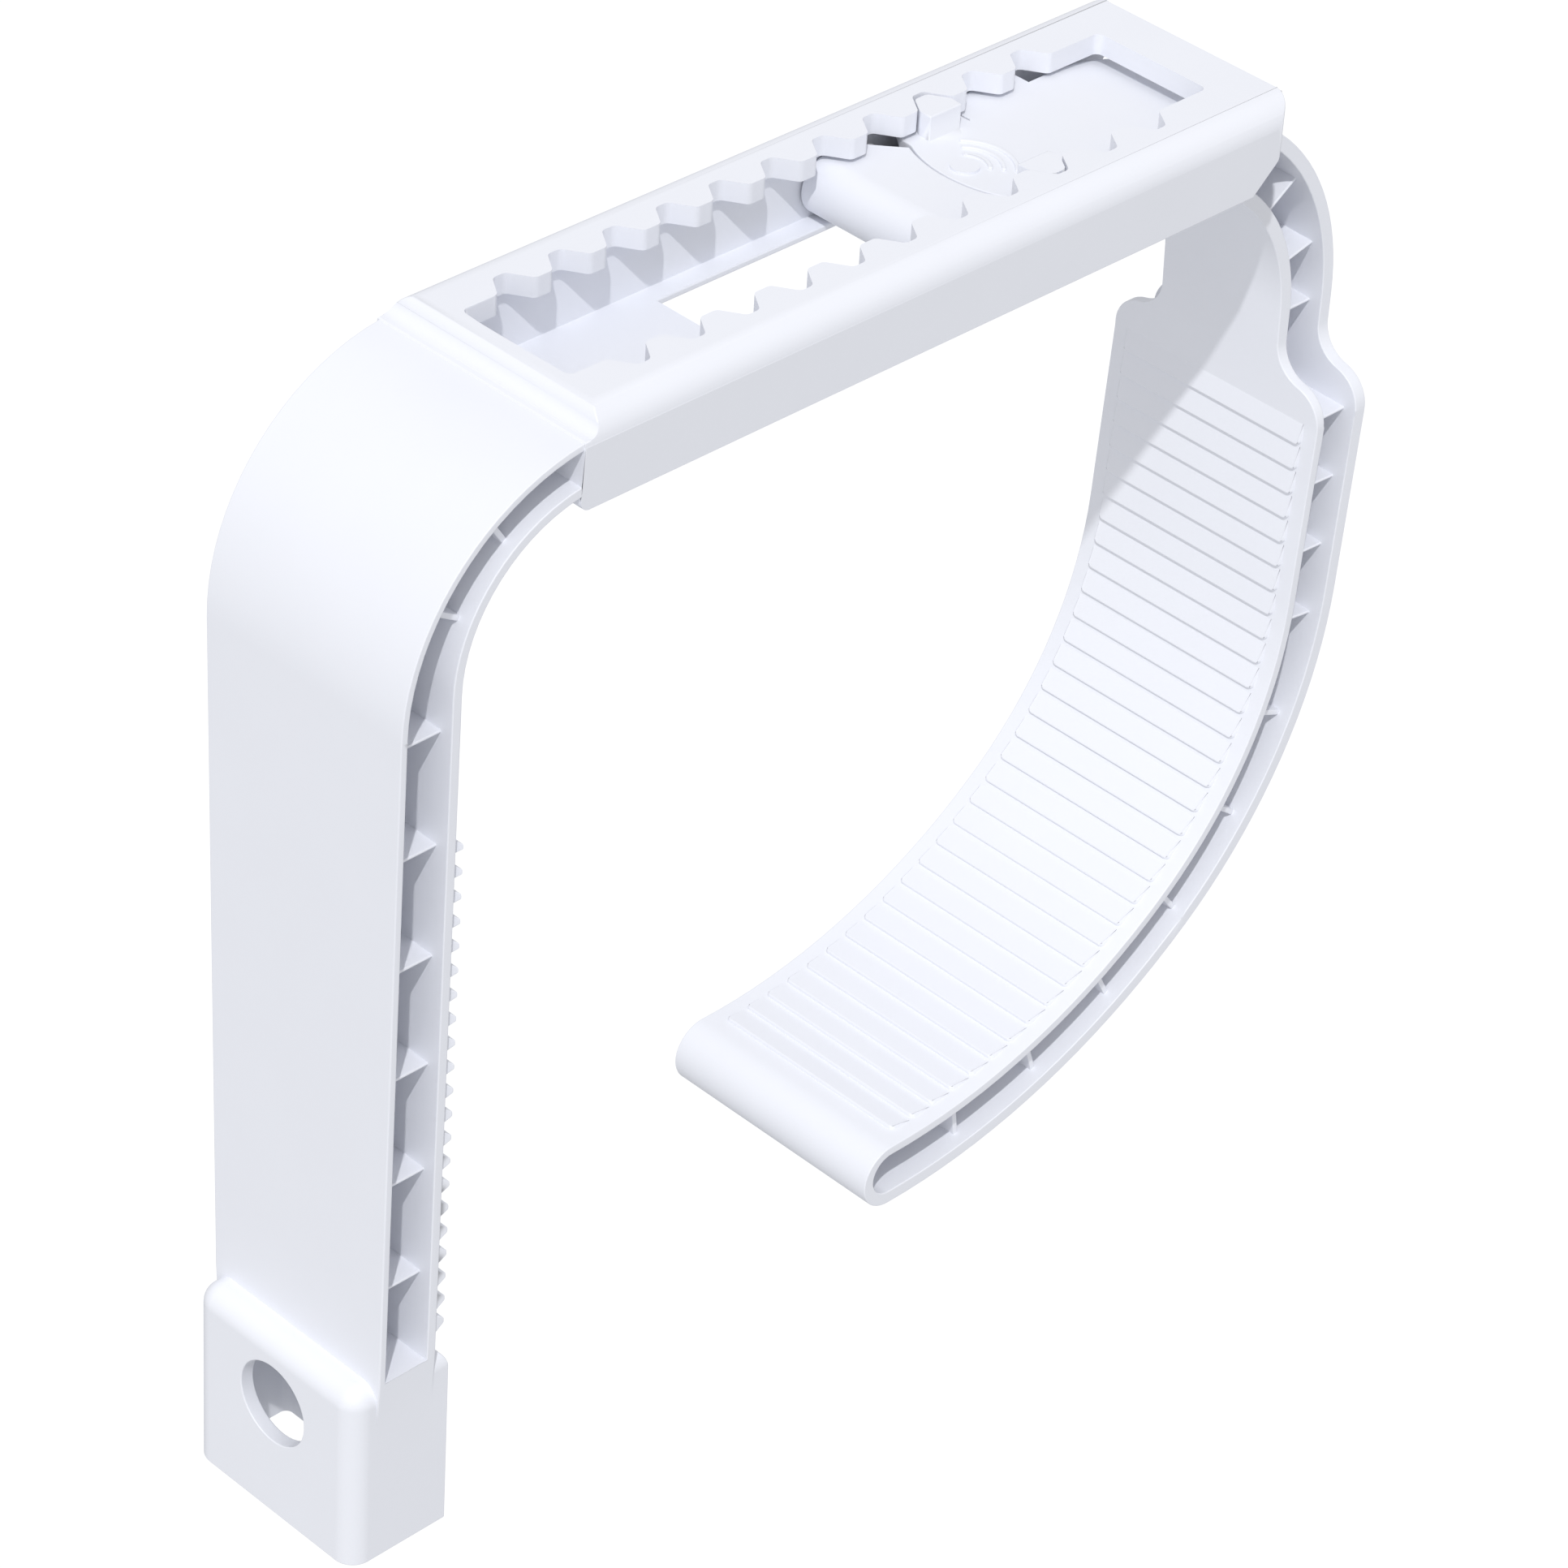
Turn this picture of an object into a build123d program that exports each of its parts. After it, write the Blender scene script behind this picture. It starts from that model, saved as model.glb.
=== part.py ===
from build123d import *
import math
import os

# Adjustable over-the-rim clamp hanger, moulded in white plastic, all sizes in millimetres.
# X runs along the rack from the fixed leg to the sliding jaw, Y across the width, Z up.
# The model is laid out from the outer face of the foot (x = 0) and its open bottom (z = 0);
# the last step moves the origin to the middle of the foot's bottom opening.

# ---- fixed arm: socket foot, leg and bend
FOOT_T = 21.7            # foot, front to back
FOOT_W = 41.8            # foot, side to side
FOOT_H = 38.5
FOOT_CORNER = 4.1        # upright corners of the outer face
FOOT_TOP_R = 3.9         # soft shoulder all around the foot's top
SOCKET_WALL = 2.2
SOCKET_WALL_HOLE = 2.8   # the wall that carries the round hole
SOCKET_DEPTH = 36.0
SOCKET_ROUND = 1.5       # upright corners inside the socket
HOLE_D = 16.5
HOLE_Z = 24.5
LEG_STEP = 5.4           # foot stands this far proud of the leg's outer face
LEG_T = 12.6
LEG_SKIN = 1.4           # outer skin of leg and bend
LEG_SKIN_IN = 1.9        # inner skin, which carries the serrations
LEG_FLARE_Z = 29.0       # the sides start to flare from the foot's width
LEG_TAPER = 2.2          # each side of the leg draws in this much from the bend to the foot
BEND_TAPER = 0.6         # and this much from the strap to the leg's top
STRAP_IN = 0.4           # strap in from the frame's widest, on each side
WEB = 2.0                # centre web between the pockets of the two sides
RIB = 1.4
POCKET_FLOOR = 39.3
LEG_RIB_Z = 59.3         # underside of the first cross rib
LEG_RIB_PITCH = 22.35
LEG_RIBS = 6
BEND_R = 41.7            # outer radius of the bend
BEND_IN_R = 27.8         # inner radius, from a centre of its own
BEND_IN_RISE = 3.8       # that centre lies this far above the outer one
BEND_RIBS = (31.0, 55.5)  # degrees above the horizontal
SERR_Z = 46.0
SERR_PITCH = 5.0
SERR_N = 21
SERR_B = 4.2
SERR_H = 2.0
SERR_TIP = 1.0           # flat on top of each tooth
SERR_ROOT = 0.4          # tooth sunk into the leg's skin
SERR_INSET = 0.3

# ---- fixed arm: rack frame
STRAP_TOP = 214.4        # top of the strap where it meets the frame
FRAME_X = 41.8
FRAME_L = 165.7
FRAME_W = 49.4           # widest, at the foot of the rounded top edges
FRAME_DRAFT = 0.7        # each side draws in this much towards the bottom
FRAME_H = 17.3
FRAME_RISE = 3.9         # frame's top above the strap's top
RISE_X = 1.0             # the rise starts this far in from the frame's end
RISE_L = 4.6             # length of the rise
FRAME_TOP_R = 5.0        # long top edges
FRAME_CORNER = 4.5       # upright corners of the free end
FRAME_LOW_R = 2.0        # lower edge above the leg
PLATE_T = 3.9            # top plate with the teeth
CHANNEL_W = 37.2
CHANNEL_END = 4.2        # wall between strap and channel
FLOOR_T = 1.2
FLOOR_L = 48.7           # closed part of the channel's floor
LIP_GAP = 29.2           # slot between the lips of the floor
CHAMFER = 8.0            # slanting lower corner at the frame's free end
CHAMFER_R = 5.0
SLOT_X = 49.0
SLOT_L = 148.5
TIP_GAP = 25.6           # between opposite tooth tips
ROOT_GAP = 34.4          # between opposite tooth roots
PITCH = 12.0
TOOTH_X = 67.1           # first tooth
TEETH = 10
TOOTH_TIP = 3.6
TOOTH_ROOT = 9.3
TOOTH_ROUND = 1.4

# ---- sliding jaw
GUIDE_CLEAR = 0.4
NOSE_X = 131.0
GUIDE_TOP_GAP = 0.9      # skin under the teeth
GUIDE_FLOOR_GAP = 0.4
GUIDE_SKIN = 2.0
GUIDE_END_X = 180.5
NECK_X = 186.9           # where the neck starts to turn down
NECK_R = 50.0
JAW_T = 13.1
NECK_EXTRA = 0.9         # the neck is this much thicker, on its inner side
JAW_SKIN = 1.9
JAW_STANDOUT = 0.3       # jaw past the frame on each side
JAW_SKIN_OUT = 2.7
DROP = 19.6              # upright stretch below the neck
LEAN = 37.2              # stretch that leans in
LEAN_DEG = 3.5
CURVE_R1 = 86.6
CURVE_END1 = 51.4
CURVE_R2 = 121.0
CURVE_END2 = 90.6
SHOULDER_TOP = 158.0     # neck starts to widen
SHOULDER_LOW = 144.6     # full width reached
NECK_RIBS = (42.7, 58.2, 69.8)
JAW_RIB_0 = 87.6
JAW_RIB_PITCH_1 = 14.4
JAW_RIB_PITCH_2 = 20.0
JAW_RIBS_1 = 4
JAW_RIB_END = 12.0       # least room between the last rib and the tip
BAR_PITCH = 5.15
BAR_R = 1.6
BAR_RISE = 0.8
BAR_START = 3.3
BAR_END = 2.0            # least room between the last bar and the round tip
BAR_INSET = 3.0

# ---- latch tongue
LATCH_X = TOOTH_X + 7.5 * PITCH   # the gap that the lugs sit in
TONGUE_TIP_X = 147.2      # foremost point of the rounded free end
TONGUE_EDGE_X = 149.9     # where the rounded end meets the sides
TONGUE_ROOT_X = 183.0
TONGUE_W = 22.4
TONGUE_SLIT = 0.35
TONGUE_T = 2.0
LUG_CLEAR = 0.35
LUG_TOP_GAP = 0.2        # lug's top below the frame's top
LUG_REACH = 16.4
LUG_INNER = 10.2
WING_END_X = 164.0
WING_SLANT = 2.6         # front corner of the wing cut back this much
WING_KNEE = (0.2, 14.0)  # where the cut starts: x past the tongue's edge, y
NOTCH_X = 143.5
NOTCH_WALL = 0.9         # left between the notch and the side of the slider
NOTCH_BULGE = (3.4, 13.4) # middle of the notch's round edge: x past its end, y
NOTCH_LAP = 0.6          # notch into the tongue's side
PAD_X = 151.6
PAD_R = 2.6
PAD_RISE = 0.5
GRIP_R = (4.3, 6.6, 8.9)
GRIP_T = 0.8
GRIP_FAN = 1.2           # half width of the fan of ridges, for each unit of its length

# ---- derived
LEG_OUT = LEG_STEP
LEG_IN = LEG_STEP + LEG_T
BEND_X = LEG_OUT + BEND_R
BEND_Z = STRAP_TOP - BEND_R
BEND_IN_X = LEG_IN + BEND_IN_R
BEND_IN_Z = BEND_Z + BEND_IN_RISE
FRAME_TOP = STRAP_TOP + FRAME_RISE
FRAME_Z = FRAME_TOP - FRAME_H
FRAME_END = FRAME_X + FRAME_L
TEETH_Z = FRAME_TOP - PLATE_T
CHANNEL_X = FRAME_X + CHANNEL_END
CHANNEL_Z = FRAME_Z + FLOOR_T
GUIDE_W = CHANNEL_W - 2 * GUIDE_CLEAR
NECK_W = LIP_GAP - 2 * GUIDE_CLEAR
GUIDE_TOP = TEETH_Z - GUIDE_TOP_GAP
GUIDE_LOW = CHANNEL_Z + GUIDE_FLOOR_GAP
NOSE_R = (GUIDE_TOP - GUIDE_LOW) / 2
NECK_Z = GUIDE_TOP - NECK_R
JAW_W = FRAME_W + 2 * JAW_STANDOUT
STRAP_W = FRAME_W - 2 * STRAP_IN
LEG_W_HIGH = STRAP_W - 2 * BEND_TAPER
LEG_W_LOW = LEG_W_HIGH - 2 * LEG_TAPER
FAR = 400.0


def across(sketch, half):
    """Extrude a side profile (x, z) by half to each side of the middle plane."""
    return extrude(Plane.XZ * sketch, amount=half, both=True)


def from_sides(sketch, half, web):
    """Extrude a side profile inwards from both sides and stop at the centre web."""
    near = extrude(Plane.XZ.offset(web / 2) * sketch, amount=half)
    far = extrude(Plane.XZ.offset(-web / 2) * sketch, amount=-half)
    return near + far


def box(x0, x1, half, z0, z1):
    """Box given by its limits, symmetric about the middle plane."""
    mid = Pos((x0 + x1) / 2, 0, (z0 + z1) / 2)
    return mid * Box(x1 - x0, 2 * half, z1 - z0)


def bend_arc(x, z, r, x_end):
    """Quarter bend about (x, z) from its level point up to the height it has at x_end."""
    end = math.acos((x - x_end) / r)
    points = [(x - r * math.cos(t), z + r * math.sin(t)) for t in (0, end / 2, end)]
    return ThreePointArc(*points)


def strip(x0, x1, z0, z1):
    """Rectangle in a side profile given by its limits."""
    return Pos((x0 + x1) / 2, (z0 + z1) / 2) * Rectangle(x1 - x0, z1 - z0)


# ------------------------------------------------------------------ fixed arm
def arm_profile(out, inn, z0):
    """Side profile of leg and bend above z0, drawn in by out and inn from its two faces."""
    x_end = FRAME_X + 3
    outer = bend_arc(BEND_X, BEND_Z, BEND_R - out, x_end)
    inner = bend_arc(BEND_IN_X, BEND_IN_Z, BEND_IN_R + inn, x_end)
    x0, x1 = LEG_OUT + out, LEG_IN - inn
    rest = [Line((x0, z0), (x0, BEND_Z)), Line(outer @ 1, inner @ 1),
            Line((x1, BEND_IN_Z), (x1, z0)), Line((x1, z0), (x0, z0))]
    return make_face(Curve() + [outer, inner] + rest)


def arm_widths():
    """Front view of leg and strap, wider towards the top."""
    side = [(FOOT_W / 2, 0), (FOOT_W / 2, LEG_FLARE_Z), (LEG_W_LOW / 2, POCKET_FLOOR),
            (LEG_W_HIGH / 2, BEND_Z), (STRAP_W / 2, STRAP_TOP), (STRAP_W / 2, FRAME_TOP)]
    points = side + [(-y, z) for y, z in reversed(side)]
    return extrude(Plane.YZ * make_face(Polyline(*points, close=True)), amount=FAR)


def arm_pockets():
    """Side pockets between the two skins, parted by cross ribs."""
    inner = arm_profile(LEG_SKIN, LEG_SKIN_IN, POCKET_FLOOR)
    inner = inner & strip(0, FRAME_X, POCKET_FLOOR, FRAME_TOP)
    for i in range(LEG_RIBS):
        z = LEG_RIB_Z + i * LEG_RIB_PITCH
        inner -= strip(LEG_OUT, LEG_IN, z, z + RIB)
    for deg in BEND_RIBS:
        rib = Pos(-BEND_R + LEG_T / 2, 0) * Rectangle(LEG_T, RIB)
        inner -= Pos(BEND_X, BEND_Z) * Rot(0, 0, -deg) * rib
    return from_sides(inner, STRAP_W, WEB)


def serrations():
    """Row of blunt teeth on the inner face of the leg."""
    row = Sketch()
    for i in range(SERR_N):
        z = SERR_Z + i * SERR_PITCH
        tooth = Polyline((LEG_IN - SERR_ROOT, z - SERR_B / 2), (LEG_IN, z - SERR_B / 2),
                         (LEG_IN + SERR_H, z - SERR_TIP / 2), (LEG_IN + SERR_H, z + SERR_TIP / 2),
                         (LEG_IN, z + SERR_B / 2), (LEG_IN - SERR_ROOT, z + SERR_B / 2), close=True)
        row += make_face(tooth)
    return across(row, LEG_W_LOW / 2 - SERR_INSET)


def foot():
    """Socket foot with soft upright corners and a soft shoulder around its top."""
    block = box(0, FOOT_T, FOOT_W / 2, 0, FOOT_H)
    upright = block.edges().filter_by(Axis.Z).group_by(Axis.X)
    block = fillet(upright[0], FOOT_CORNER)
    return fillet(block.edges().group_by(Axis.Z)[-1], FOOT_TOP_R)


def socket():
    """Hollow of the foot and the round hole through its outer wall."""
    half = FOOT_W / 2 - SOCKET_WALL
    hollow = box(SOCKET_WALL_HOLE, FOOT_T - SOCKET_WALL, half, -1, SOCKET_DEPTH)
    hollow = fillet(hollow.edges().filter_by(Axis.Z), SOCKET_ROUND)
    hole = Pos(SOCKET_WALL_HOLE / 2, 0, HOLE_Z) * Rot(0, 90, 0) * Cylinder(HOLE_D / 2, 2 * SOCKET_WALL_HOLE)
    return hollow + hole


def tooth_slot():
    """Slot in the top plate with a row of rounded rack teeth on each side."""
    tip, root = TIP_GAP / 2, ROOT_GAP / 2
    side = [(SLOT_X, tip)]
    for i in range(TEETH + 1):
        x = TOOTH_X + (i - 0.5) * PITCH
        half_tip = (PITCH - TOOTH_TIP) / 2
        half_root = (PITCH - TOOTH_ROOT) / 2
        side += [(x - half_tip, tip), (x - half_root, root), (x + half_root, root), (x + half_tip, tip)]
    side.append((SLOT_X + SLOT_L, tip))
    points = side + [(x, -y) for x, y in reversed(side)]
    face = make_face(Polyline(*points, close=True))
    face = fillet(face.vertices(), TOOTH_ROUND)
    return extrude(Pos(0, 0, TEETH_Z - 1) * face, amount=PLATE_T + 2)


def frame_side():
    """Side profile of the rack frame: rise from the strap and slanting lower free corner."""
    x0, x1 = FRAME_X + RISE_X, FRAME_X + RISE_X + RISE_L
    mid = ((x0 + x1) / 2, (STRAP_TOP + FRAME_TOP) / 2)
    low = TangentArc((x0, STRAP_TOP), mid, tangent=(1, 0))
    high = TangentArc((x1, FRAME_TOP), mid, tangent=(-1, 0))
    rest = Polyline((x1, FRAME_TOP), (FRAME_END, FRAME_TOP), (FRAME_END, FRAME_Z + CHAMFER),
                    (FRAME_END - CHAMFER, FRAME_Z), (FRAME_X, FRAME_Z), (FRAME_X, STRAP_TOP), (x0, STRAP_TOP))
    face = make_face(Curve() + [low, high, rest])
    kink = [v for v in face.vertices() if v.X > FRAME_END - 0.1 and v.Y < FRAME_TOP - 0.1]
    face = fillet(kink, CHAMFER_R)
    foot_end = [v for v in face.vertices() if v.X < FRAME_X + 0.1 and v.Y < FRAME_Z + 0.1]
    return fillet(foot_end, FRAME_LOW_R)


def frame_block():
    """Outer block of the rack frame: side view, end view with soft top edges, and plan."""
    top, low = FRAME_W / 2, FRAME_W / 2 - FRAME_DRAFT
    end = make_face(Polyline((-low, FRAME_Z), (low, FRAME_Z), (top, FRAME_TOP - FRAME_TOP_R), (top, FRAME_TOP),
                             (-top, FRAME_TOP), (-top, FRAME_TOP - FRAME_TOP_R), close=True))
    end = fillet([v for v in end.vertices() if v.Y > FRAME_TOP - 0.1], FRAME_TOP_R - 0.01)
    plan = Pos((FRAME_X + FRAME_END) / 2, 0) * Rectangle(FRAME_L, FRAME_W)
    plan = fillet([v for v in plan.vertices() if v.X > FRAME_END - 0.1], FRAME_CORNER)
    block = across(frame_side(), FRAME_W) & extrude(Plane.YZ * end, amount=FAR)
    return block & extrude(plan, amount=FAR)


def channel():
    """Guide channel below the teeth, its slotted floor and its open free end."""
    room = box(CHANNEL_X, FRAME_END + 5, CHANNEL_W / 2, CHANNEL_Z, TEETH_Z)
    gap = box(CHANNEL_X + FLOOR_L, FRAME_END + 5, LIP_GAP / 2, FRAME_Z - 1, CHANNEL_Z + 1)
    return room + gap


def fixed_arm():
    """Foot, leg, bend and rack frame: one moulding."""
    leg = across(arm_profile(0, 0, LEG_FLARE_Z), STRAP_W) & arm_widths()
    body = leg + foot() + frame_block() + serrations()
    body -= arm_pockets()
    body -= socket()
    body -= channel()
    return body - tooth_slot()


# ---------------------------------------------------------------- sliding jaw
def jaw_path():
    """Outer line of neck and jaw as (kind, length, data) pieces, from the guide to the tip."""
    x_out = NECK_X + NECK_R
    z_kink = NECK_Z - DROP
    lean = math.radians(LEAN_DEG)
    x_b, z_b = x_out - LEAN * math.sin(lean), z_kink - LEAN * math.cos(lean)
    c1 = (x_b - CURVE_R1 * math.cos(lean), z_b + CURVE_R1 * math.sin(lean))
    end1 = math.radians(CURVE_END1)
    shift = CURVE_R2 - CURVE_R1
    c2 = (c1[0] - shift * math.cos(end1), c1[1] + shift * math.sin(end1))
    return [("arc", (NECK_X, NECK_Z), NECK_R, 90.0, 0.0),
            ("line", (x_out, NECK_Z), DROP, 0.0, 0.0),
            ("line", (x_out, z_kink), LEAN, LEAN_DEG, 0.0),
            ("arc", c1, CURVE_R1, -LEAN_DEG, -CURVE_END1),
            ("arc", c2, CURVE_R2, -CURVE_END1, -CURVE_END2)]


PATH = jaw_path()


def at(index, part, depth):
    """Point on piece index of the path, at a share of its length and a depth below the outer line."""
    kind, base, size, a, b = PATH[index]
    if depth >= JAW_T and index < 2:
        depth += NECK_EXTRA * (1 - index * part)
    if kind == "arc":
        ang = math.radians(a + (b - a) * part)
        return (base[0] + (size - depth) * math.cos(ang), base[1] + (size - depth) * math.sin(ang))
    ang = math.radians(a)
    x = base[0] - size * part * math.sin(ang) - depth * math.cos(ang)
    return (x, base[1] - size * part * math.cos(ang) + depth * math.sin(ang))


def piece_length(index, depth):
    """Length of a piece of the path at a given depth."""
    kind, base, size, a, b = PATH[index]
    return math.radians(abs(b - a)) * (size - depth) if kind == "arc" else size


def walk(s, depth):
    """Piece and share of it that lie a length s along the path at that depth."""
    for index in range(len(PATH)):
        length = piece_length(index, depth)
        if s <= length or index == len(PATH) - 1:
            return index, s / length
        s -= length


def run(depth):
    """Edges along the whole path at one depth, from the guide to the tip."""
    edges = []
    for index, (kind, base, size, a, b) in enumerate(PATH):
        start, end = at(index, 0, depth), at(index, 1, depth)
        if kind == "arc":
            edges.append(ThreePointArc(start, at(index, 0.5, depth), end))
            continue
        if index == 2:
            start = at(1, 1, depth)
        edges.append(Line(start, end))
    return edges


def tip_edge(d0, d1):
    """Round end of the jaw between two depths."""
    last = len(PATH) - 1
    p0, p1 = at(last, 1, d0), at(last, 1, d1)
    ang = math.radians(CURVE_END2)
    r = (d1 - d0) / 2
    mid = at(last, 1, (d0 + d1) / 2)
    return ThreePointArc(p0, (mid[0] - r * math.sin(ang), mid[1] - r * math.cos(ang)), p1)


def band(d0, d1):
    """Side profile of neck and jaw between two depths below the outer line."""
    cap = Line(at(0, 0, d1), at(0, 0, d0))
    return make_face(Curve() + run(d0) + [tip_edge(d0, d1)] + run(d1) + [cap])


def guide_profile():
    """Side profile of the slider with its rounded nose."""
    top, low, r = GUIDE_TOP, GUIDE_LOW, NOSE_R
    nose = ThreePointArc((NOSE_X + r, top), (NOSE_X, top - r), (NOSE_X + r, low))
    under = Line((NOSE_X + r, low), (GUIDE_END_X, low))
    inner = at(0, 0, JAW_T)
    blend = Spline((GUIDE_END_X, low), inner, tangents=((1, 0), (1, 0)))
    back = Polyline(inner, (NECK_X, top), (NOSE_X + r, top))
    return make_face(Curve() + [nose, under, blend, back])


def guide_hollow():
    """Hollow between the two skins of the slider, where the latch tongue dips."""
    top, low, r = GUIDE_TOP - GUIDE_SKIN, GUIDE_LOW + GUIDE_SKIN, NOSE_R - GUIDE_SKIN
    x0 = NOSE_X + NOSE_R
    nose = ThreePointArc((x0, top), (x0 - r, (top + low) / 2), (x0, low))
    rest = Polyline((x0, low), (GUIDE_END_X, low), (GUIDE_END_X, top), (x0, top))
    return make_face(Curve() + [nose, rest])


def neck_hollow():
    """Wedge-shaped pocket where the slider thickens into the neck."""
    x0, top, low = GUIDE_END_X + RIB, GUIDE_TOP - JAW_SKIN_OUT, GUIDE_LOW + JAW_SKIN
    return make_face(Polyline((x0, top), (NECK_X, top), at(0, 0, JAW_T - JAW_SKIN), (x0, low), close=True))


def jaw_widths():
    """Front view of neck and jaw: narrow neck, soft shoulders, full width below."""
    n, w = NECK_W / 2, JAW_W / 2
    z0, z1 = SHOULDER_TOP, SHOULDER_LOW
    mid = ((n + w) / 2, (z0 + z1) / 2)
    edges = []
    for sign in (1, -1):
        a = TangentArc((sign * n, z0), (sign * mid[0], mid[1]), tangent=(0, -1))
        b = TangentArc((sign * w, z1), (sign * mid[0], mid[1]), tangent=(0, 1))
        edges += [Line((sign * n, FRAME_TOP), (sign * n, z0)), a, b, Line((sign * w, z1), (sign * w, 0))]
    edges += [Line((-n, FRAME_TOP), (n, FRAME_TOP)), Line((-w, 0), (w, 0))]
    return extrude(Plane.YZ * make_face(Curve() + edges), amount=FAR)


def jaw_pockets():
    """Side pockets of neck and jaw, parted by cross ribs that stand square to the skins."""
    stations = list(NECK_RIBS)
    stations += [JAW_RIB_0 + i * JAW_RIB_PITCH_1 for i in range(JAW_RIBS_1)]
    total = sum(piece_length(i, JAW_T / 2) for i in range(len(PATH)))
    while stations[-1] + JAW_RIB_PITCH_2 < total - JAW_RIB_END:
        stations.append(stations[-1] + JAW_RIB_PITCH_2)
    inner = band(JAW_SKIN_OUT, JAW_T - JAW_SKIN) + neck_hollow()
    for s in stations:
        index, part = walk(s, JAW_T / 2)
        (x0, z0), (x1, z1) = at(index, part, 0), at(index, part, JAW_T)
        ang = math.degrees(math.atan2(z1 - z0, x1 - x0))
        inner -= Pos((x0 + x1) / 2, (z0 + z1) / 2) * Rot(0, 0, ang) * Rectangle(JAW_T, RIB)
    return from_sides(inner, JAW_W, WEB)


def grip_bars():
    """Rounded cross bars on the gripping face of the jaw."""
    row = Sketch()
    start = piece_length(0, JAW_T) + piece_length(1, JAW_T) + BAR_START
    total = sum(piece_length(i, JAW_T) for i in range(len(PATH)))
    for i in range(int((total - start - BAR_END) / BAR_PITCH) + 1):
        index, part = walk(start + i * BAR_PITCH, JAW_T)
        x, z = at(index, part, JAW_T - BAR_R + BAR_RISE)
        row += Pos(x, z) * Circle(BAR_R)
    return across(row, JAW_W / 2 - BAR_INSET)


def notch_plan(sign):
    """Opening beside the tongue, in front of the lug, on one side of the slider."""
    y0, y1, x0 = sign * (TONGUE_W / 2 - NOTCH_LAP), sign * (GUIDE_W / 2 + 1), TONGUE_EDGE_X - TONGUE_SLIT
    corner = (NOTCH_X, sign * (GUIDE_W / 2 - NOTCH_WALL))
    edge = ThreePointArc((x0, y0), (NOTCH_X + NOTCH_BULGE[0], sign * NOTCH_BULGE[1]), corner)
    rest = Polyline(corner, (NOTCH_X, y1), (WING_END_X + TONGUE_SLIT, y1), (WING_END_X + TONGUE_SLIT, y0), (x0, y0))
    return make_face(Curve() + [edge, rest])


def blade(grow):
    """Plan of the tongue without its wings, from the root to the rounded free end."""
    x0, half = TONGUE_EDGE_X - grow, TONGUE_W / 2 + grow
    end = ThreePointArc((x0, -half), (TONGUE_TIP_X - grow, 0), (x0, half))
    rest = Polyline((x0, half), (TONGUE_ROOT_X, half), (TONGUE_ROOT_X, -half), (x0, -half))
    return make_face(Curve() + [end, rest])


def tongue_opening():
    """Opening in the slider's top skin that the tongue lies in."""
    plan = blade(TONGUE_SLIT) + notch_plan(1) + notch_plan(-1)
    return extrude(Pos(0, 0, GUIDE_TOP - GUIDE_SKIN - 0.5) * plan, amount=GUIDE_SKIN + 2)


def sliding_jaw():
    """Slider, neck and curved jaw: one moulding."""
    wide = across(guide_profile() & strip(0, GUIDE_END_X + RIB, 0, FRAME_TOP), GUIDE_W / 2)
    side = guide_profile() & strip(GUIDE_END_X, NECK_X, 0, FRAME_TOP)
    lower = across(side + band(0, JAW_T), JAW_W) & jaw_widths()
    body = wide + lower + grip_bars()
    body -= across(guide_hollow(), JAW_W)
    body -= jaw_pockets()
    return body - tongue_opening()


# --------------------------------------------------------------- latch tongue
def lug(sign):
    """Locking lug that fills one gap of the rack on one side."""
    c = LUG_CLEAR
    tip, root = TIP_GAP / 2, ROOT_GAP / 2
    slope = (TOOTH_ROOT - TOOTH_TIP) / 2 / (root - tip)
    half_tip = (PITCH - TOOTH_TIP) / 2 - c * math.hypot(1, slope)
    x, y_in, y_out = LATCH_X, LUG_INNER, LUG_REACH
    half_out = half_tip - slope * (y_out - tip)
    plan = [(x - half_tip, sign * y_in), (x - half_tip, sign * tip), (x - half_out, sign * y_out),
            (x + half_out, sign * y_out), (x + half_tip, sign * tip), (x + half_tip, sign * y_in)]
    face = make_face(Polyline(*plan, close=True))
    upper = [v for v in face.vertices() if abs(abs(v.Y) - y_in) > 0.1]
    face = fillet(upper, TOOTH_ROUND)
    return extrude(Pos(0, 0, GUIDE_TOP - 0.5) * face, amount=FRAME_TOP - LUG_TOP_GAP - GUIDE_TOP + 0.5)


def tongue_plan():
    """Plan of the tongue with a side wing under each lug."""
    x0, y, half = TONGUE_EDGE_X, GUIDE_W / 2 - NOTCH_WALL, TONGUE_W / 2
    knee, end = (x0 + WING_KNEE[0], WING_KNEE[1]), x0 + WING_SLANT
    wing = Polyline((x0, -half), (knee[0], -knee[1]), (end, -y), (WING_END_X, -y),
                    (WING_END_X, y), (end, y), knee, (x0, half), close=True)
    return blade(0) + make_face(wing)


def grips():
    """Round thumb mark and the crescent ridges beside it."""
    marks = Pos(PAD_X, 0) * Circle(PAD_R)
    reach = 2 * max(GRIP_R)
    spread = reach * GRIP_FAN
    sector = Polyline((PAD_X, 0), (PAD_X + reach, -spread), (PAD_X + reach, spread), close=True)
    for r in GRIP_R:
        arc = Circle(r + GRIP_T / 2) - Circle(r - GRIP_T / 2)
        marks += (Pos(PAD_X, 0) * arc) & make_face(sector)
    return extrude(Pos(0, 0, GUIDE_TOP - 0.2) * marks, amount=PAD_RISE + 0.2)


def latch_tongue():
    """Press-down tongue with two locking lugs and a thumb grip."""
    plate = extrude(Pos(0, 0, GUIDE_TOP - TONGUE_T) * tongue_plan(), amount=TONGUE_T)
    return plate + lug(1) + lug(-1) + grips()


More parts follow.
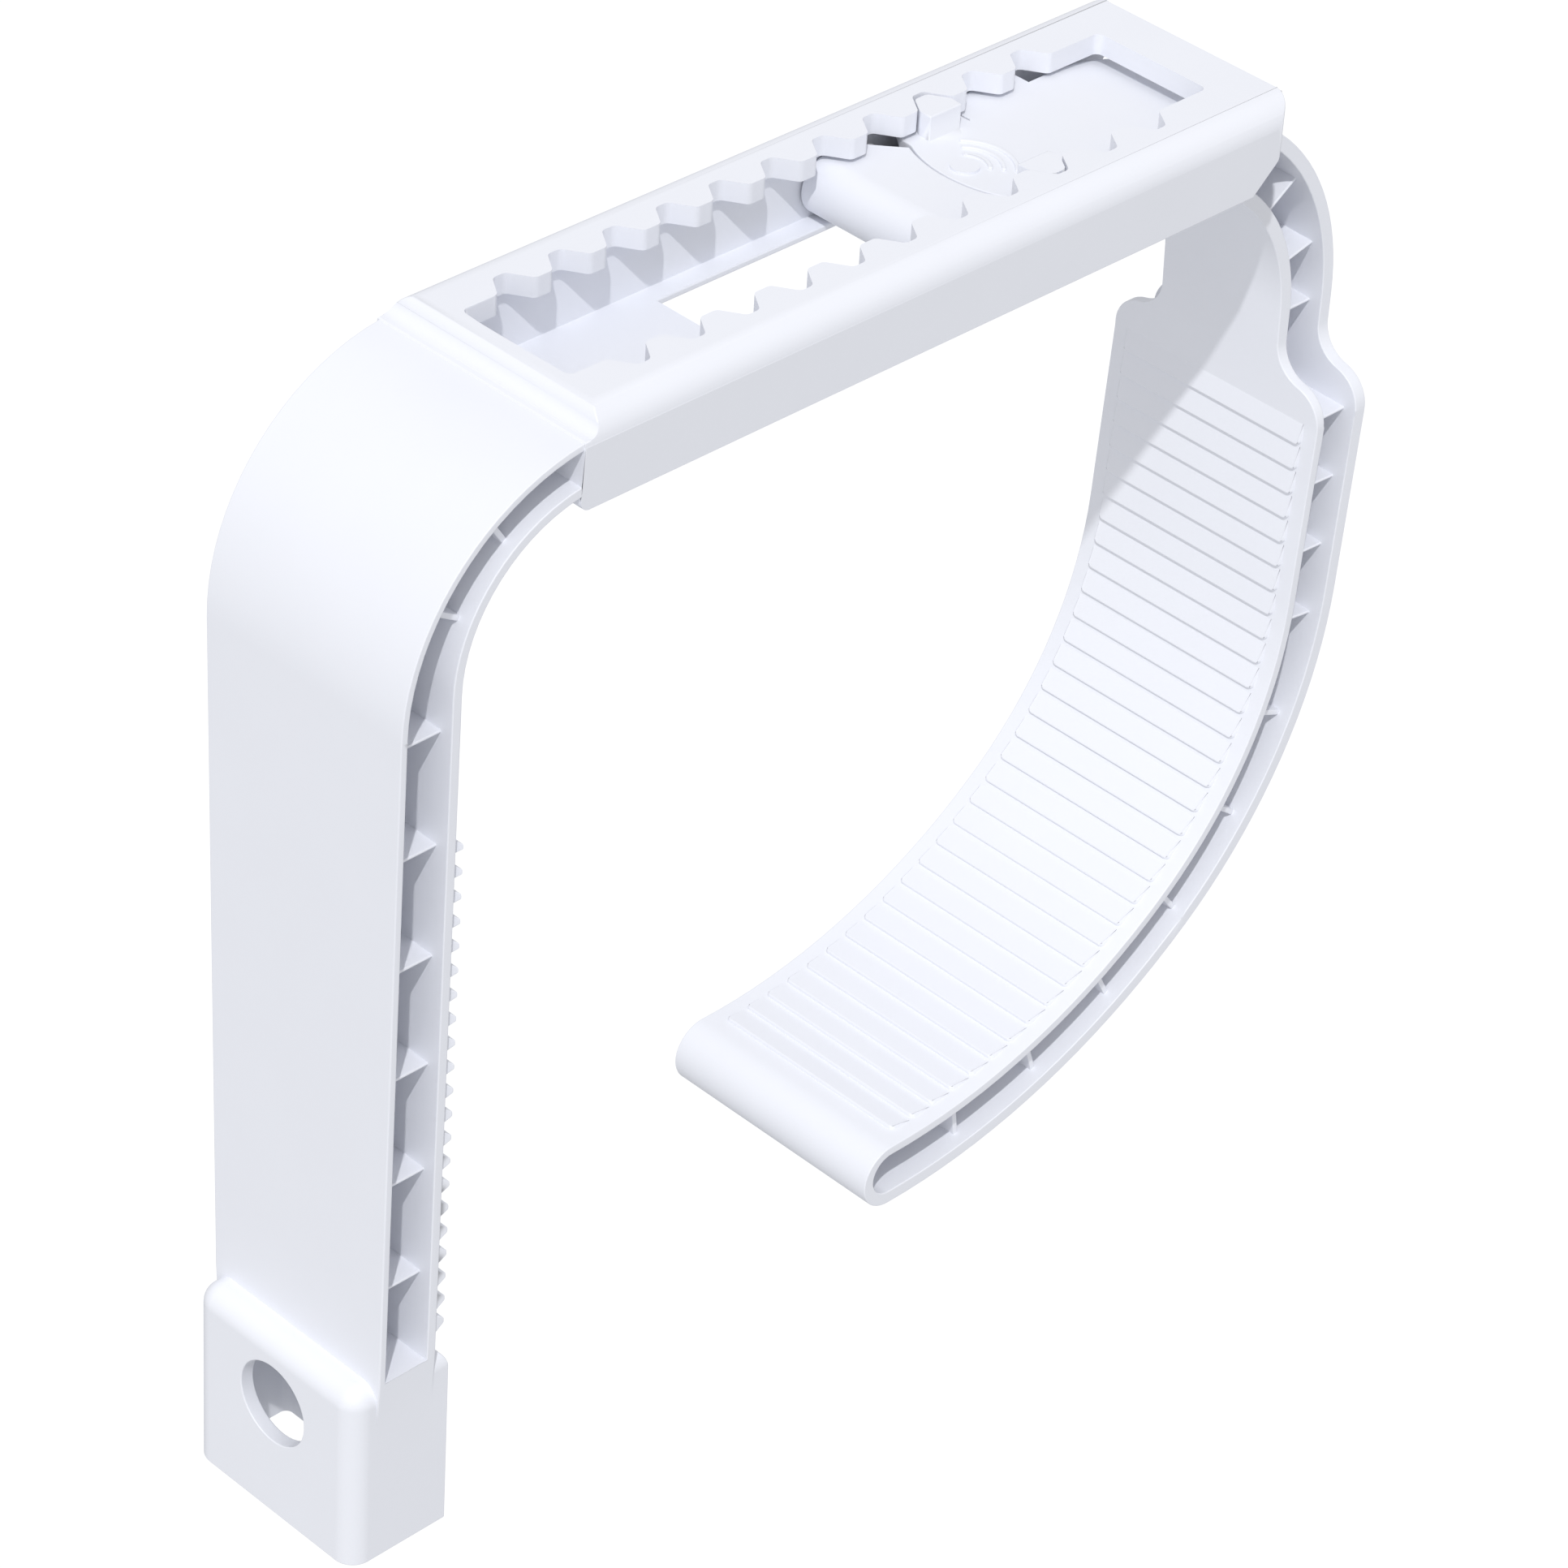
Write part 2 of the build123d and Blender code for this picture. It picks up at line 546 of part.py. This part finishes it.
# --------------------------------------------------------------------- output
def export_all():
    """Write one file for each piece, with the origin at the foot's bottom opening."""
    os.makedirs("parts", exist_ok=True)
    place = Pos(-FOOT_T / 2, 0, 0)
    for name, make in (("fixed_arm", fixed_arm), ("sliding_jaw", sliding_jaw), ("latch_tongue", latch_tongue)):
        solid = place * make()
        export_step(solid, "parts/" + name + ".step")
        print(name, "volume", round(solid.volume), "solids", len(solid.solids()))


export_all()
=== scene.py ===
import math

import bmesh
import bpy
from mathutils import Matrix, Vector


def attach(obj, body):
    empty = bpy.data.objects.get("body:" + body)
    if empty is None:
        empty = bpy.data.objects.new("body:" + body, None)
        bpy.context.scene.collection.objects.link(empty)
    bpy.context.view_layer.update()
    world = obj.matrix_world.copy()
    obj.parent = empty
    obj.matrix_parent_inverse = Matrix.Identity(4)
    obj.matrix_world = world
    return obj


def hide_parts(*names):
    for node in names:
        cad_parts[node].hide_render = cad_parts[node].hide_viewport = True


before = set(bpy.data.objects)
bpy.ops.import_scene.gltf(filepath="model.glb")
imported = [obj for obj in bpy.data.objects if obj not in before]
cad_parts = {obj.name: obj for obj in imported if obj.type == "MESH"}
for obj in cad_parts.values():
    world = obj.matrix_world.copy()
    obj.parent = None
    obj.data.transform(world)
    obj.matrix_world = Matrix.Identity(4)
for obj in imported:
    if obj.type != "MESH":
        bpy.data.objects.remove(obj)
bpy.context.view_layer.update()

MM = 0.001


# ---------------------------------------------------------------- materials
def linear(hex_colour):
    """sRGB hex value as linear RGBA: the standard sRGB curve undone for each channel."""
    channels = [int(hex_colour[i:i + 2], 16) / 255 for i in (1, 3, 5)]
    return [c / 12.92 if c <= 0.04045 else ((c + 0.055) / 1.055) ** 2.4 for c in channels] + [1.0]


def node(tree, kind, inputs=None, **settings):
    """Add one node, set its properties and its inputs; an input given as a socket is linked."""
    made = tree.nodes.new(kind)
    for name, value in settings.items():
        setattr(made, name, value)
    for name, value in (inputs or {}).items():
        if isinstance(value, bpy.types.NodeSocket):
            tree.links.new(value, made.inputs[name])
        else:
            made.inputs[name].default_value = value
    return made


SATIN = (0.44, 0.56)  # roughness of the moulded skin, from place to place


def moulded_polypropylene(name, tone, shade):
    """White injection-moulded plastic: satin, slightly cool, with the soft mottle of a cooled skin."""
    material = bpy.data.materials.new(name)
    material.use_nodes = True
    tree = material.node_tree
    tree.nodes.clear()
    place = node(tree, "ShaderNodeTexCoord").outputs["Object"]
    mottle = node(tree, "ShaderNodeTexNoise", {"Vector": place, "Scale": 60.0, "Detail": 3.0})
    tones = {0: mottle.outputs["Fac"], 6: linear(tone), 7: linear(shade)}
    colour = node(tree, "ShaderNodeMix", tones, data_type="RGBA")
    grain = node(tree, "ShaderNodeTexNoise", {"Vector": place, "Scale": 2500.0, "Detail": 2.0})
    gloss = node(tree, "ShaderNodeMapRange", {
        "Value": mottle.outputs["Fac"], "To Min": SATIN[0], "To Max": SATIN[1]})
    bump = node(tree, "ShaderNodeBump", {
        "Height": grain.outputs["Fac"], "Strength": 0.04, "Distance": 0.2 * MM})
    shader = node(tree, "ShaderNodeBsdfPrincipled", {
        "Base Color": colour.outputs[2], "Roughness": gloss.outputs["Result"], "IOR": 1.49,
        "Normal": bump.outputs["Normal"]})
    node(tree, "ShaderNodeOutputMaterial", {"Surface": shader.outputs["BSDF"]})
    return material


plastic = moulded_polypropylene("moulded_white_polypropylene", "#F1F3FA", "#EEF0F7")

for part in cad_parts.values():
    part.data.materials.clear()
    part.data.materials.append(plastic)


# -------------------------------------------------------- pieces from the CAD
FOOT_X = -10.85 * MM       # outer face of the foot; the CAD's own x sizes count from it
EDGE_R = 0.25 * MM         # radius on the outer edges
SHARP = math.radians(38)   # outer edges turned more than this are rounded
SHORT = 0.4 * MM           # and shorter ones are left as they are
CREASE = math.radians(35)  # corners turned more than this are shaded crisp
SAME_PLACE = 2e-6          # corners closer than this are one
SAME_PLANE = math.radians(0.3)

# cross ribs between the skins
RIB = 1.4 * MM             # thickness in the CAD
RIB_TOL = 0.3 * MM
RIB_BACK = 2.7 * MM        # the ribs stop this far inside the skins' edges
RIB_EDGE = 0.6 * MM        # thickness at their outer edge where they lie level, and in the neck
RIB_EDGE_BENT = 1.1 * MM   # and where they slant, in the arm's bend and the jaw
RIB_RUN = 8 * MM           # least length from the web to the skins' edges
RIB_SPAN = (5 * MM, 14 * MM)  # room between the skins
NECK_X, NECK_Z = 200 * MM, 150 * MM  # the neck lies beyond these
LEG_RIB_DROP = 2.5 * MM    # the leg's ribs lie this much lower than in the CAD
UPRIGHT, FACING, LEVEL = 0.05, 0.9, 0.99  # bounds on the parts of a unit normal

# clamp teeth of the leg
LEG_FACE_X = FOOT_X + 18.0 * MM
TEETH_X = (LEG_FACE_X + 0.01 * MM, LEG_FACE_X + 2.5 * MM)
TEETH_Z = (43.0 * MM, 149.0 * MM)
TEETH_END = 21.0 * MM      # corners beyond this, across, are a tooth's end
LEG_HALF, LEG_Z = 21.5 * MM, 39.3 * MM  # half width of the leg, and the height where it has it
LEG_SPREAD = 0.01649       # growth of the half width for each unit of height
TEETH_INSET = 0.3 * MM

# grip bars of the jaw
BAR_HALF = 22.0 * MM       # half length
BAR_END_TOL = 0.05 * MM
BAR_CHORD = (2.5 * MM, 3.0 * MM)  # width of a round bar
BAR_REACH = 1.45 * MM      # a round bar's corners are within this of its middle
BAR_HEIGHT = (0.02 * MM, 0.9 * MM)  # and this far out of the pad
PRESSED, TUCKED = 0.9, 0.96  # share of the height taken off a round bar, share of its length kept
BAR_FOOT, BAR_FOOT_SINK = -4.6 * MM, -0.2 * MM   # upper end of a shingle, sunk into the pad
BAR_EDGE, BAR_EDGE_SINK = 1.386 * MM, -0.3 * MM  # its lower edge, sunk too
BAR_RISE, BAR_STEEP = 0.75 * MM, 0.10 * MM       # its height, and the run of its steep face
BAR_CORNER, BAR_DRAFT = 0.9 * MM, 0.98
CORNER_TURNS = [math.radians(turn) for turn in (0, 30, 60, 90)]

# latch tongue and its opening
TONGUE_HALF, OPENING_HALF, CLOSED_HALF = 11.2 * MM, 11.55 * MM, 11.19 * MM
WALL_TOL, RIM_TOL = 0.02 * MM, 0.5 * MM
TONGUE_X = (FOOT_X + 149 * MM, FOOT_X + 184 * MM)
OPENING_X, OPENING_Z, RIM_Z = FOOT_X + 164 * MM, 210.5 * MM, 211 * MM


def joined(node_name):
    """Copy of a CAD solid as a bmesh, with its doubles merged and its flat faces made whole."""
    net = bmesh.new()
    net.from_mesh(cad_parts[node_name].data)
    bmesh.ops.remove_doubles(net, verts=net.verts, dist=SAME_PLACE)
    bmesh.ops.dissolve_limit(net, angle_limit=SAME_PLANE, use_dissolve_boundaries=False, verts=net.verts,
                             edges=net.edges)
    return net


def rib_sides(net):
    """Flat faces of the cross ribs, each with its two outer corners."""
    sides = []
    for face in net.faces:
        if len(face.verts) != 4 or abs(face.normal.y) > UPRIGHT:
            continue
        corners = sorted(face.verts, key=lambda v: -abs(v.co.y))
        a, b = corners[:2]
        one_side = all(v.co.y * a.co.y > 0 for v in corners)
        deep = abs(a.co.y) - abs(corners[3].co.y) > RIB_RUN
        if one_side and deep and RIB_SPAN[0] < (a.co - b.co).length < RIB_SPAN[1]:
            sides.append((face, a, b))
    return sides


def ribs(net):
    """Cross ribs: the two side faces and their outer corners, of which a faces c and b faces d."""
    sides, found = rib_sides(net), []
    for i, (face, a, b) in enumerate(sides):
        for other, c, d in sides[i + 1:]:
            gap = (c.co + d.co) / 2 - (a.co + b.co) / 2
            opposite = face.normal.dot(other.normal) < -FACING and gap.dot(face.normal) < 0
            if opposite and abs(gap.length - RIB) < RIB_TOL:
                if (a.co - c.co).length > (a.co - d.co).length:
                    c, d = d, c
                found.append((face, other, a, b, c, d))
    return found


def split_rail(face, corner):
    """New corner on the long edge that runs inwards from an outer corner of a rib's side."""
    rail = next(e for e in corner.link_edges if face in e.link_faces
                and abs(e.other_vert(corner).co.y - corner.co.y) > RIB_SPAN[0])
    return bmesh.utils.edge_split(rail, corner, RIB_BACK / rail.calc_length())[1]


def set_ribs_back(net, leg_drop=0.0):
    """Part the outer end off each cross rib, close the rib and the two skins again, and thin the new edge."""
    for face, other, a, b, c, d in ribs(net):
        outer = ((face, a), (face, b), (other, c), (other, d))
        inner = {corner: split_rail(part, corner) for part, corner in outer}
        cut = [bmesh.utils.face_split(part, inner[p], inner[q])[0]
               for part, p, q in ((face, a, b), (other, c, d))]
        rib = {v for part in (face, other, *cut) for v in part.verts} - {a, b, c, d}
        for p, q in ((a, c), (b, d)):
            bmesh.ops.connect_vert_pair(net, verts=[p, q])
        middle = (a.co + b.co + c.co + d.co) / 4
        along = (b.co + d.co) / 2 - (a.co + c.co) / 2
        across = (c.co + d.co) / 2 - (a.co + b.co) / 2
        side = math.copysign(1.0, a.co.y)
        doomed = []
        for part in {f for v in (a, b, c, d) for f in v.link_faces}:
            offset, corners = part.calc_center_median() - middle, set(part.verts)
            on_rim = (abs(part.normal.y) > FACING and abs(offset.dot(along)) < along.length_squared / 2
                      and abs(offset.dot(across)) < across.length_squared / 2)
            outer_end = any({p, q, inner[p], inner[q]} <= corners for p, q in ((a, b), (c, d)))
            if on_rim or outer_end:
                doomed.append(part)
        bmesh.ops.delete(net, geom=doomed, context="FACES_KEEP_BOUNDARY")
        for loop, facing in (((a, c, inner[c], inner[a]), along), ((b, d, inner[d], inner[b]), -along),
                             ((inner[a], inner[c], inner[d], inner[b]), Vector((0, side, 0)))):
            patch = net.faces.new(loop)
            patch.normal_update()
            if patch.normal.dot(facing) < 0:
                patch.normal_flip()
        level = abs(across.z) > LEVEL * across.length
        in_neck = middle.x - FOOT_X > NECK_X and middle.z > NECK_Z
        pull = across.normalized() * (RIB - (RIB_EDGE if level or in_neck else RIB_EDGE_BENT)) / 2
        for corner, sign in ((a, 1), (b, 1), (c, -1), (d, -1)):
            inner[corner].co += pull * sign
        if leg_drop and level:
            for v in rib:
                v.co.z -= leg_drop
    bmesh.ops.delete(net, geom=[e for e in net.edges if not e.link_faces], context="EDGES")


def widen_teeth(net):
    """Carry the clamp teeth of the leg's inner face out to its edges, which spread as the leg rises."""
    for v in net.verts:
        on_face = TEETH_X[0] < v.co.x < TEETH_X[1] and TEETH_Z[0] < v.co.z < TEETH_Z[1]
        if on_face and abs(v.co.y) > TEETH_END:
            v.co.y = math.copysign(LEG_HALF + (v.co.z - LEG_Z) * LEG_SPREAD - TEETH_INSET, v.co.y)


def flat(p):
    """The same point in the plane of symmetry."""
    return Vector((p.x, 0, p.z))


def round_bars(net):
    """Round grip bars of the CAD from the top down: middle of each, way down the pad, way out of it."""
    found = []
    for face in net.faces:
        centre = face.calc_center_median()
        if face.normal.y > -LEVEL or abs(centre.y + BAR_HALF) > BAR_END_TOL:
            continue
        pairs = [(a, b) for a in face.verts for b in face.verts]
        a, b = max(pairs, key=lambda pair: (pair[0].co - pair[1].co).length)
        if BAR_CHORD[0] < (a.co - b.co).length < BAR_CHORD[1]:
            middle, down = flat((a.co + b.co) / 2), flat(b.co - a.co).normalized()
            if down.z > 0:
                down.negate()
            out = down.cross(Vector((0, 1, 0)))
            if out.dot(flat(centre) - middle) < 0:
                out.negate()
            found.append((middle, down, out))
    return sorted(found, key=lambda bar: -bar[0].z)


def press_flat(net, middle, down, out):
    """Sink a round bar into the pad, under the shingle that takes its place."""
    for v in net.verts:
        offset = flat(v.co) - middle
        height = offset.dot(out)
        near = abs(offset.dot(down)) < BAR_REACH and abs(v.co.y) < BAR_HALF + BAR_END_TOL
        if near and BAR_HEIGHT[0] < height < BAR_HEIGHT[1]:
            v.co -= out * height * PRESSED
            v.co.y *= TUCKED


def shingle_bars(net):
    """Grip bars that rise slowly out of the pad and end in a steep lower edge with rounded corners."""
    half = [(BAR_HALF - BAR_CORNER * (1 - math.sin(turn)), BAR_CORNER * (1 - math.cos(turn)))
            for turn in CORNER_TURNS]
    stations = [(-y, back) for y, back in reversed(half)] + half
    for middle, down, out in round_bars(net):
        press_flat(net, middle, down, out)
        rows = []
        for y, back in stations:
            edge = BAR_EDGE - back
            profile = ((BAR_FOOT, BAR_FOOT_SINK, y), (edge - BAR_STEEP, BAR_RISE, y * BAR_DRAFT),
                       (edge, BAR_EDGE_SINK, y))
            rows.append([net.verts.new(middle + down * p + out * q + Vector((0, r, 0)))
                         for p, q, r in profile])
        made = [net.faces.new(rows[0]), net.faces.new(reversed(rows[-1]))]
        for row, after in zip(rows, rows[1:]):
            made += [net.faces.new((row[i], after[i], after[i - 2], row[i - 2])) for i in range(3)]
        bmesh.ops.recalc_face_normals(net, faces=made)


def close_slits(net):
    """Bring the walls of the tongue's opening up to the tongue: in one moulding the slits are hairlines."""
    for v in net.verts:
        on_wall = abs(abs(v.co.y) - OPENING_HALF) < WALL_TOL
        if on_wall and v.co.z > OPENING_Z and v.co.x > OPENING_X:
            v.co.y = math.copysign(CLOSED_HALF, v.co.y)


def hairline(p):
    """On the upper rim of the tongue or of its opening, where rounded edges would show as a seam."""
    return p.z > RIM_Z and TONGUE_X[0] < p.x < TONGUE_X[1] and abs(abs(p.y) - TONGUE_HALF) < RIM_TOL


def moulded(node_name, piece_name, body, net):
    """Piece from the bmesh of a CAD solid: outer edges rounded, flats shaded flat and curves smooth."""
    weight = net.edges.layers.float.new("bevel_weight_edge")
    for edge in net.edges:
        outer = edge.calc_face_angle_signed(0.0) > SHARP and edge.calc_length() > SHORT
        edge[weight] = float(outer and not all(hairline(v.co) for v in edge.verts))
    rough = bpy.data.meshes.new(piece_name + "_sharp")
    net.to_mesh(rough)
    net.free()
    blank = bpy.data.objects.new(piece_name + "_sharp", rough)
    bpy.context.scene.collection.objects.link(blank)
    bevel = blank.modifiers.new("soft_edges", "BEVEL")
    bevel.width, bevel.segments, bevel.limit_method = EDGE_R, 2, "WEIGHT"
    bevel.use_clamp_overlap, bevel.miter_outer = False, "MITER_ARC"
    mesh = bpy.data.meshes.new_from_object(blank.evaluated_get(bpy.context.evaluated_depsgraph_get()))
    bpy.data.objects.remove(blank)
    bpy.data.meshes.remove(rough)
    mesh.name = piece_name
    mesh.materials.clear()
    mesh.materials.append(plastic)
    mesh.polygons.foreach_set("use_smooth", [True] * len(mesh.polygons))
    mesh.set_sharp_from_angle(angle=CREASE)
    piece = bpy.data.objects.new(piece_name, mesh)
    bpy.context.scene.collection.objects.link(piece)
    normals = piece.modifiers.new("flat_faces", "WEIGHTED_NORMAL")
    normals.mode, normals.weight, normals.keep_sharp = "FACE_AREA", 50, True
    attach(piece, body)
    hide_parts(node_name)


arm_net = joined("fixed_arm")
set_ribs_back(arm_net, LEG_RIB_DROP)
widen_teeth(arm_net)
moulded("fixed_arm", "arm_moulding", "arm", arm_net)

jaw_net = joined("sliding_jaw")
set_ribs_back(jaw_net)
shingle_bars(jaw_net)
close_slits(jaw_net)
moulded("sliding_jaw", "jaw_moulding", "jaw", jaw_net)

moulded("latch_tongue", "tongue_moulding", "tongue", joined("latch_tongue"))


# ------------------------------------------------------------ floor and light
FLOOR_HALF, FLOOR_Z = 8.0, -1.6
FLOOR_LIFT = 0.45  # brings the lit floor up to white for the camera; the part's shadow stays on it


def floor():
    """Plain pale floor well below the hanging part, white to the camera."""
    mesh = bpy.data.meshes.new("floor")
    corners = [(x * FLOOR_HALF, y * FLOOR_HALF, FLOOR_Z) for x, y in ((-1, -1), (1, -1), (1, 1), (-1, 1))]
    mesh.from_pydata(corners, [], [(0, 1, 2, 3)])
    obj = bpy.data.objects.new("floor", mesh)
    bpy.context.scene.collection.objects.link(obj)
    material = bpy.data.materials.new("white_paper_floor")
    material.use_nodes = True
    tree = material.node_tree
    tree.nodes.clear()
    path = node(tree, "ShaderNodeLightPath")
    matt = node(tree, "ShaderNodeBsdfDiffuse", {"Color": linear("#C8C9CA")})
    lift = node(tree, "ShaderNodeEmission", {"Color": (1, 1, 1, 1), "Strength": FLOOR_LIFT})
    both = node(tree, "ShaderNodeAddShader", {0: matt.outputs[0], 1: lift.outputs[0]})
    mix = node(tree, "ShaderNodeMixShader", {
        0: path.outputs["Is Camera Ray"], 1: matt.outputs[0], 2: both.outputs[0]})
    node(tree, "ShaderNodeOutputMaterial", {"Surface": mix.outputs[0]})
    mesh.materials.append(material)


def studio():
    """Soft light from all around; the camera, also through clear things, sees plain white."""
    world = bpy.data.worlds.new("studio")
    bpy.context.scene.world = world
    world.use_nodes = True
    tree = world.node_tree
    tree.nodes.clear()
    rays = node(tree, "ShaderNodeLightPath")
    soft = node(tree, "ShaderNodeBackground", {"Color": linear("#FCFCFD"), "Strength": 0.63})
    white = node(tree, "ShaderNodeBackground", {"Color": (1, 1, 1, 1), "Strength": 1.0})
    direct = {0: rays.outputs["Is Camera Ray"], 1: rays.outputs["Is Transmission Ray"]}
    shown = node(tree, "ShaderNodeMath", direct, operation="MAXIMUM")
    seen = node(tree, "ShaderNodeMixShader", {0: shown.outputs[0], 1: soft.outputs[0], 2: white.outputs[0]})
    node(tree, "ShaderNodeOutputWorld", {"Surface": seen.outputs[0]})


def sun(name, towards, strength, angle):
    """White distant lamp that shines from the given direction."""
    lamp = bpy.data.lights.new(name, "SUN")
    lamp.energy, lamp.angle = strength, math.radians(angle)
    obj = bpy.data.objects.new(name, lamp)
    obj.rotation_mode = "QUATERNION"
    obj.rotation_quaternion = Vector(towards).to_track_quat("Z", "Y")
    bpy.context.scene.collection.objects.link(obj)


floor()
studio()
sun("key", (-0.46, -0.38, 0.80), 1.54, 1.2)
sun("fill", (-0.90, -0.42, 0.10), 0.30, 60.0)

# --------------------------------------------------------------------- camera
view = bpy.data.cameras.new("camera")
view.lens, view.sensor_width = 139.75, 36.0
view.clip_start, view.clip_end = 0.05, 50.0
camera = bpy.data.objects.new("camera", view)
bpy.context.scene.collection.objects.link(camera)
right, up = Vector((0.7153, -0.6968, 0.0531)), Vector((0.3711, 0.4431, 0.8160))
back = -Vector((0.5921, 0.5640, -0.5756))
camera.matrix_world = Matrix.Translation((-0.52756, -0.60384, 0.71793)) @ Matrix(
    ((right.x, up.x, back.x), (right.y, up.y, back.y), (right.z, up.z, back.z))).to_4x4()
bpy.context.scene.camera = camera
bpy.context.scene.view_settings.view_transform = "Standard"
